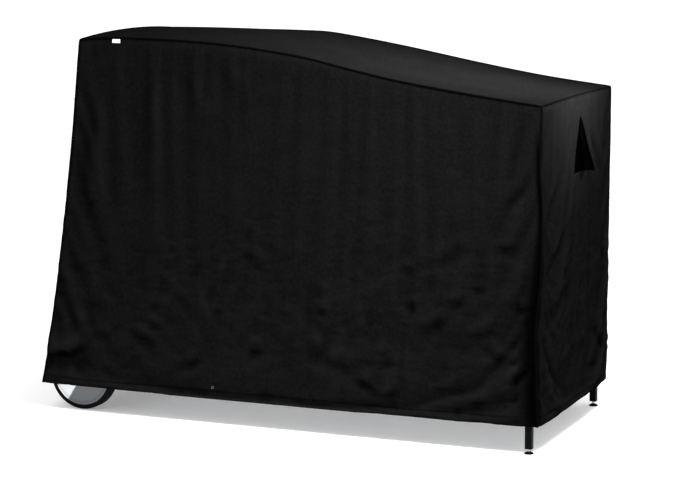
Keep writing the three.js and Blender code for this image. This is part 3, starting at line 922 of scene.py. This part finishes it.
# ---------------------------------------------------------------- settings
class GrillCoverSettings(bpy.types.PropertyGroup):
    cloth_step: FloatProperty(name="Cloth step", default=0.0125, min=0.006, max=0.05, unit="LENGTH",
                              description="Size of the cloth's squares before it is smoothed")
    slack: FloatProperty(name="Slack", default=0.004, min=0.0, max=0.03, subtype="FACTOR",
                         description="How much longer the cloth is than the space between its seams")
    press: FloatProperty(name="Press", description="How much of the folds is pressed in again once it hangs",
                         default=0.9, min=0.0, max=2.0, subtype="FACTOR")
    settle_frames: IntProperty(name="Settling", default=18, min=2,
                               description="Frames for which the cloth hangs")
    piping_radius: FloatProperty(name="Piping radius", description="Radius of the cord in the seams",
                                 default=0.0026, min=0.001, max=0.006, unit="LENGTH")
    fabric_dark: FloatVectorProperty(name="Cloth, dark", description="Darker yarns of the cloth",
                                     default=colour("#080808")[:3], subtype="COLOR")
    fabric_light: FloatVectorProperty(name="Cloth, light", description="Lighter yarns of the cloth",
                                      default=colour("#0f0f0f")[:3], subtype="COLOR")
    tape: FloatVectorProperty(name="Tape", description="Piping and binding tape",
                              default=colour("#030303")[:3], subtype="COLOR")
    floor: FloatVectorProperty(name="Floor", description="Studio floor and backdrop",
                               default=colour("#f9f9f9")[:3], subtype="COLOR")
    room_light: FloatProperty(name="Room light", description="Strength of the light from all round",
                              default=1.1, min=0.0)
    table_glow: FloatProperty(name="Table glow", description="Light that comes up through the floor",
                              default=0.2, min=0.0)
    top_light: FloatProperty(name="Top lamp", description="Power of the lamp overhead", default=4.0, min=0.0,
                             unit="POWER")
    end_light: FloatProperty(name="End lamp", description="Power of the lamp at the table end", default=9.5,
                             min=0.0, unit="POWER")
    front_light: FloatProperty(name="Front lamp", description="Power of the lamp before the cover",
                               default=27.0, min=0.0, unit="POWER")


SHELL = {}


# ---------------------------------------------------------------- operators
class COVER_OT_cloth(bpy.types.Operator):
    """Sew, hang and finish the cover's panels and hems"""
    bl_idname = "cover.cloth"
    bl_label = "Panels and hems"

    def execute(self, context):
        settings = context.scene.grill_cover
        shell = build_shell(settings)
        side_of = sides_of_points(shell)
        flat = [v.co.copy() for v in shell.data.vertices]
        outward = [v.normal.copy() for v in shell.data.vertices]
        crease_shell(shell, side_of, outward, 1.0)
        drape(shell, side_of, settings)
        crease_shell(shell, side_of, outward, settings.press)
        hold_shape(shell, flat, outward, side_of)
        mark_hollows(shell, outward)
        shell.vertex_groups.clear()
        apply_modifier(shell, "SUBSURF", levels=1, render_levels=1)
        crinkle(shell)
        pucker_seams(shell)
        self.keep_seams(shell)
        self.split(shell)
        return {"FINISHED"}

    def keep_seams(self, shell):
        """Remember where the seams run, for the piping and the stitches."""
        sides = {s: {s + "_panel", s + "_hem"} for s in SIDES}
        top = {"top_panel"}
        pairs = {f"{s}_top_piping": (sides[s], top) for s in SIDES}
        for s in ("front", "back"):
            for end in ("left", "right"):
                pairs[f"{s}_{end}_piping"] = (sides[s], sides[end])
        seams = seams_of(shell)
        for name, (a, b) in pairs.items():
            SHELL[name] = seam_path(shell, seams, a, b)
        for s in SIDES:
            SHELL[s + "_hem_line"] = seam_path(shell, seams, {s + "_hem"}, {s + "_panel"})

    def split(self, shell):
        """Part the skin into its panels and hems, and give each its thickness."""
        in_edit_mode(shell, ("separate", {"type": "MATERIAL"}))
        pieces = {}
        for piece in list(bpy.context.selected_objects):
            mark = piece.data.materials[piece.data.polygons[0].material_index].name
            pieces[mark] = piece
        for name in CLOTH:
            piece = pieces[name]
            piece.name = piece.data.name = "sewn_" + name
            hem = name.endswith("_hem")
            apply_modifier(piece, "SOLIDIFY", thickness=0.0026 if hem else 0.0009, offset=-1.0,
                           use_even_offset=False)
            piece.data.polygons.foreach_set("use_smooth", [True] * len(piece.data.polygons))
            dress(piece, "cloth", "binding_fabric" if hem else "cover_fabric", "cover", name)
            SHELL[name] = piece
        for name in CLOTH:
            bpy.data.materials.remove(bpy.data.materials[name])


class COVER_OT_piping(bpy.types.Operator):
    """Lay the piping along the top edges and down the corners"""
    bl_idname = "cover.piping"
    bl_label = "Piping"

    def execute(self, context):
        radius = context.scene.grill_cover.piping_radius
        for name in [n for n in SHELL if n.endswith("_piping")]:
            points = smooth_run([place + out * radius * 0.4 for place, out in SHELL[name]])
            cord = cord_along("sewn_" + name, points, radius)
            dress(cord, "tape", "binding_fabric", "cover", name)
        return {"FINISHED"}


class COVER_OT_stitching(bpy.types.Operator):
    """Sew the stitch rows along the hems"""
    bl_idname = "cover.stitching"
    bl_label = "Stitching"

    def execute(self, context):
        for side in SIDES:
            row = lay_stitches(side + "_hem_stitches", SHELL[side + "_hem_line"], 0.0009)
            dress(row, "thread", "binding_fabric", "cover")
        inward = {"front": (0, 1, 0), "back": (0, -1, 0), "right": (-1, 0, 0), "left": (1, 0, 0)}
        for side in SIDES:
            run = beside(SHELL[side + "_top_piping"], SHELL["top_panel"], Vector(inward[side]), 0.008)
            row = lay_stitches(side + "_top_stitches", run[2:-2], 0.0003)
            dress(row, "thread", "binding_fabric", "cover")
        return {"FINISHED"}


class COVER_OT_vents(bpy.types.Operator):
    """Cut the vents, and fit each with its mesh, its flap and its binding"""
    bl_idname = "cover.vents"
    bl_label = "Vents"

    def execute(self, context):
        joints = {j["name"]: j for j in frame["record"]["behaviour"]["joints"]}
        for end, forward in (("right", -1), ("left", 1)):
            joint = joints[end + "_flap_hinge"]
            foot, axis = Vector(joint["pos_m"]), Vector(joint["axis"]).normalized()
            across = Vector((0, forward, 0))
            out = axis.cross(across).normalized()
            apex = foot + axis * VENT_RISE
            self.cut(end, foot, foot + across * VENT_WIDTH, apex, out)
            self.fit_net(end, foot, foot + across * VENT_WIDTH, apex, out)
            self.fit_flap(end, foot, axis, across, apex, out)
        return {"FINISHED"}

    def cut(self, end, foot, front, apex, out):
        """Cut the hole with a three-sided prism."""
        corners = [p + out * d for d in (-0.02, 0.02) for p in (foot, front, apex)]
        prism = mesh_piece(end + "_vent_cutter", corners, [],
                           [[0, 1, 2], [5, 4, 3], [0, 3, 4, 1], [1, 4, 5, 2], [2, 5, 3, 0]])
        in_edit_mode(prism, FACE_OUT)
        apply_modifier(SHELL[end + "_panel"], "BOOLEAN", operation="DIFFERENCE", object=prism, solver="EXACT")
        make_active(prism)
        bpy.ops.object.delete()

    def fit_net(self, end, foot, front, apex, out):
        """The mesh lies just behind the panel."""
        behind = -out * 0.0042
        piece = net(end + "_vent_net", foot + behind, front + behind, apex + behind, 0.0022, 0.0007)
        dress(piece, "mesh", "vent_mesh", "cover", end + "_vent_mesh")

    def fit_flap(self, end, foot, axis, across, apex, out):
        """The flap bellies out between its hinge and its free edge, and tape binds its two free edges."""
        tip = foot + Matrix.Rotation(FLAP_OPEN, 3, axis) @ (across * FLAP_WIDTH)
        face = (tip - foot).cross(apex - foot).normalized()
        face = face if face.dot(axis.cross(across)) > 0 else -face

        def sag(s, t):
            return face * (0.006 * math.sin(math.pi * s) * t + 0.0012 * math.sin(9 * t) * s * t)

        flap = triangle_face(end + "_flap_cloth", foot, tip, apex, 24, sag)
        apply_modifier(flap, "SOLIDIFY", thickness=0.0011, offset=0.0)
        dress(flap, "cloth", "cover_fabric", end + "_flap", end + "_vent_flap")
        steps = [k / 24 for k in range(25)]
        edge = [apex.lerp(tip, t) + sag(1.0, t) for t in steps]
        base = [foot.lerp(tip, s) + sag(s, 1.0) for s in reversed(steps)]
        hinge = [foot.lerp(apex, k / 12) - out * 0.0009 for k in range(13)]
        dress(cord_along(end + "_hinge_binding", hinge, 0.0017, 12), "tape", "binding_fabric", "cover")
        binding = cord_along(end + "_flap_binding", edge[1:] + base[1:-1], 0.0016, 12)
        dress(binding, "tape", "binding_fabric", end + "_flap")


class COVER_OT_trim(bpy.types.Operator):
    """Sew on the label and set the eyelet"""
    bl_idname = "cover.trim"
    bl_label = "Label and eyelet"

    def execute(self, context):
        low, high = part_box("sewn_label")
        middle = (low[0] + high[0]) / 2
        deselect_all()
        bpy.ops.mesh.primitive_grid_add(x_subdivisions=16, y_subdivisions=8, size=1, calc_uvs=True)
        label = context.object
        label.name = label.data.name = "woven_patch"
        seam = through(FRONT_SEAM, middle - RIGHT_X)
        for vertex in label.data.vertices:
            a, b = vertex.co.x, vertex.co.y
            vertex.co = Vector((middle + a * 0.025, FRONT_Y - 0.012, seam - 0.0105 + b * 0.0105))
        apply_modifier(label, "SHRINKWRAP", target=SHELL["front_panel"], wrap_method="PROJECT",
                       use_project_y=True, use_negative_direction=True, use_positive_direction=True,
                       offset=0.0008)
        apply_modifier(label, "SOLIDIFY", thickness=0.0007, offset=0.0)
        dress(label, "label", "label", "cover", "sewn_label")
        low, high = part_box("hem_eyelet")
        middle = Vector(((low[0] + high[0]) / 2, FRONT_Y - 0.01, (low[2] + high[2]) / 2 - 0.002))
        _, spot, _, _ = SHELL["front_panel"].closest_point_on_mesh(middle)
        rim = ((0.0020, -0.0010), (0.0022, 0.0006), (0.0028, 0.0012), (0.0038, 0.0012), (0.0045, 0.0005),
               (0.0046, -0.0006), (0.0032, -0.0010))
        ring = lathe("pressed_ring", rim, (middle.x, spot.y - 0.0004, middle.z), (0, -1, 0), 40)
        dress(ring, "nickel", "eyelet_metal", "cover", "hem_eyelet")
        return {"FINISHED"}


class CART_OT_wheels(bpy.types.Operator):
    """Turn the wheels' discs and tyres"""
    bl_idname = "cart.wheels"
    bl_label = "Wheels"

    def execute(self, context):
        for body, facing in (("front_wheel", -1), ("rear_wheel", 1)):
            low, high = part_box(body + "_disc")
            tyre_low, tyre_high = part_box(body.split("_")[0] + "_tyre")
            centre = [(a + b) / 2 for a, b in zip(low, high)]
            rim = (high[0] - low[0]) / 2
            outer = (tyre_high[2] - tyre_low[2]) / 2
            half = (high[1] - low[1]) / 2
            face = half - 0.0015
            disc = ((0.0065, face - 0.032), (0.014, face - 0.032), (0.0145, face - 0.004),
                    (0.022, face - 0.0022), (rim * 0.55, face - 0.0026), (rim - 0.012, face - 0.0018),
                    (rim - 0.006, face - 0.0010), (rim - 0.0035, half - 0.006), (rim - 0.0032, -half + 0.004),
                    (rim - 0.0012, -half + 0.003), (rim - 0.0006, half - 0.0025),
                    (rim - 0.0016, half - 0.0006), (rim - 0.0036, half), (rim - 0.0060, half - 0.0003),
                    (rim - 0.0090, face), (rim - 0.014, face - 0.0004), (rim * 0.55, face - 0.0012),
                    (0.024, face - 0.0010), (0.018, face), (0.0065, face))
            piece = lathe(body + "_dish", disc, centre, (0, facing, 0), 128)
            dress(piece, "turned", "stainless", body, body + "_disc")
            wide = (tyre_high[1] - tyre_low[1]) / 2
            inner = rim + 0.0003
            round_off = 0.005
            turns = [math.pi / 2 * k / 6 for k in range(7)]
            shoulder = [(outer - round_off * (1 - math.sin(t)), wide - round_off * (1 - math.cos(t)))
                        for t in turns]
            tyre = [(inner, -wide + 0.001), (inner + 0.003, -wide), *((r, -y) for r, y in shoulder),
                    *reversed(shoulder), (inner + 0.003, wide), (inner, wide - 0.001)]
            name = body.split("_")[0] + "_tyre"
            rubber = lathe(name + "_rubber", tyre, centre, (0, facing, 0), 128)
            dress(rubber, "rubber", "tyre_rubber", body, name)
        return {"FINISHED"}


class CART_OT_feet(bpy.types.Operator):
    """Turn the levelling feet: a pad and a threaded stem each"""
    bl_idname = "cart.feet"
    bl_label = "Levelling feet"

    def execute(self, context):
        for end in ("front", "rear"):
            low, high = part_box(end + "_foot_pad")
            centre = ((low[0] + high[0]) / 2, (low[1] + high[1]) / 2, low[2])
            radius, height = (high[0] - low[0]) / 2, high[2] - low[2]
            pad = ((0.0, 0.0), (radius - 0.0015, 0.0), (radius - 0.0004, 0.0005), (radius, 0.0014),
                   (radius - 0.0003, 0.0026), (radius - 0.0016, 0.0038), (radius - 0.004, 0.0046),
                   (0.0076, height - 0.0018), (0.0064, height - 0.0006), (0.0058, height), (0.0, height))
            piece = lathe(end + "_foot_disc", pad, centre, (0, 0, 1), 64)
            dress(piece, "nylon", "black_plastic", end + "_foot", end + "_foot_pad")
            stem_low, stem_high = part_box(end + "_foot_stem")
            radius = (stem_high[0] - stem_low[0]) / 2
            base = (centre[0], centre[1], stem_low[2])
            length, pitch = stem_high[2] - stem_low[2], 0.00125
            thread = [(0.0, 0.0), (radius - 0.0007, 0.0)]
            for k in range(int(length / pitch) - 1):
                z = (k + 0.5) * pitch
                thread += [(radius - 0.0007, z), (radius, z + pitch * 0.45), (radius, z + pitch * 0.55)]
            thread += [(radius - 0.0007, length), (0.0, length)]
            stem = lathe(end + "_foot_thread", thread, base, (0, 0, 1), 32)
            dress(stem, "zinc", "zinc_plate", end + "_foot", end + "_foot_stem")
        return {"FINISHED"}


class CART_OT_finishes(bpy.types.Operator):
    """Give the cart's own pieces their finishes"""
    bl_idname = "cart.finishes"
    bl_label = "Cart finishes"

    def execute(self, context):
        finishes = {"black_paint": "paint", "stainless": "brushed", "zinc_plate": "zinc",
                    "black_plastic": "nylon", "tyre_rubber": "rubber", "cover_fabric": "cloth",
                    "binding_fabric": "tape", "vent_mesh": "mesh", "label": "label", "eyelet_metal": "nickel"}
        for entry in frame["record"]["subparts"]:
            node = frame["nodes"][entry["node"]]
            for slot in node.material_slots:
                slot.material = finish_named(finishes[entry["material_slot"]])
        return {"FINISHED"}


class STUDIO_OT_stage(bpy.types.Operator):
    """Set the floor, the lamps and the camera"""
    bl_idname = "studio.stage"
    bl_label = "Studio"

    def execute(self, context):
        settings = context.scene.grill_cover
        deselect_all()
        bpy.ops.mesh.primitive_plane_add(size=60, location=(0, 0, 0))
        floor = context.object
        floor.name = "studio_floor"
        material, _, _ = new_material("light_table", 0.9, base=rgba(settings.floor), Specular_IOR_Level=0.0,
                                      Emission_Color=(1, 1, 1, 1), Emission_Strength=settings.table_glow)
        floor.data.materials.append(material)
        world = bpy.data.worlds.new("studio_air")
        context.scene.world = world
        world.use_nodes = True
        air = world.node_tree
        # The backdrop looks white, while the light that it throws on the cover is dimmer.
        seen = add_node(air, "ShaderNodeLightPath").outputs["Is Camera Ray"]
        glow = add_node(air, "ShaderNodeMapRange", {3: settings.room_light, 4: 1.0}, {0: seen})
        air.links.new(glow.outputs[0], air.nodes["Background"].inputs["Strength"])
        air.nodes["Background"].inputs["Color"].default_value = (1, 1, 1, 1)
        lamps = (("top_lamp", (1.0, -0.1, 2.6), (0.2, 0.0, 1.0), 0.6, 0.9, settings.top_light),
                 ("end_lamp", (1.75, 0.1, 1.5), (0.74, 0.0, 1.10), 0.3, 0.6, settings.end_light),
                 ("front_lamp", (1.3, -1.15, 2.3), (0.22, -0.34, 0.66), 0.6, 1.3, settings.front_light))
        for name, place, aim, size, spread, power in lamps:
            bpy.ops.object.light_add(type="AREA", location=place)
            lamp = context.object
            lamp.name = name
            lamp.data.energy = power
            lamp.data.size = size
            lamp.data.spread = spread
            lamp.visible_camera = False
            lamp.rotation_euler = (Vector(aim) - Vector(place)).to_track_quat("-Z", "Y").to_euler()
        azimuth, elevation = math.radians(22.284), math.radians(8.738)
        bpy.ops.object.camera_add(location=(RIGHT_X + 1.7321, FRONT_Y - 5.6325, 1.482),
                                  rotation=(math.pi / 2 - elevation, 0, azimuth))
        camera = context.object
        camera.data.sensor_width = 36.0
        camera.data.lens = 117.68
        context.scene.camera = camera
        context.scene.view_settings.view_transform = "Standard"
        return {"FINISHED"}


class COVER_PT_panel(bpy.types.Panel):
    """The grill cover's settings and steps"""
    bl_idname = "COVER_PT_panel"
    bl_label = "Grill cover"
    bl_space_type = "VIEW_3D"
    bl_region_type = "UI"
    bl_category = "Grill cover"

    def draw(self, context):
        settings = context.scene.grill_cover
        for name in settings.__annotations__:
            self.layout.prop(settings, name)
        for step in STEPS:
            self.layout.operator(step.bl_idname)


STEPS = (STUDIO_OT_stage, CART_OT_finishes, COVER_OT_cloth, COVER_OT_piping, COVER_OT_stitching,
         COVER_OT_vents, COVER_OT_trim, CART_OT_wheels, CART_OT_feet)


def register():
    for cls in (GrillCoverSettings, *STEPS, COVER_PT_panel):
        bpy.utils.register_class(cls)
    bpy.types.Scene.grill_cover = PointerProperty(type=GrillCoverSettings)


def unregister():
    del bpy.types.Scene.grill_cover
    for cls in (COVER_PT_panel, *reversed(STEPS), GrillCoverSettings):
        bpy.utils.unregister_class(cls)


def main():
    register()
    for step in STEPS:
        group, name = step.bl_idname.split(".")
        getattr(getattr(bpy.ops, group), name)()


if __name__ == "__main__":
    main()
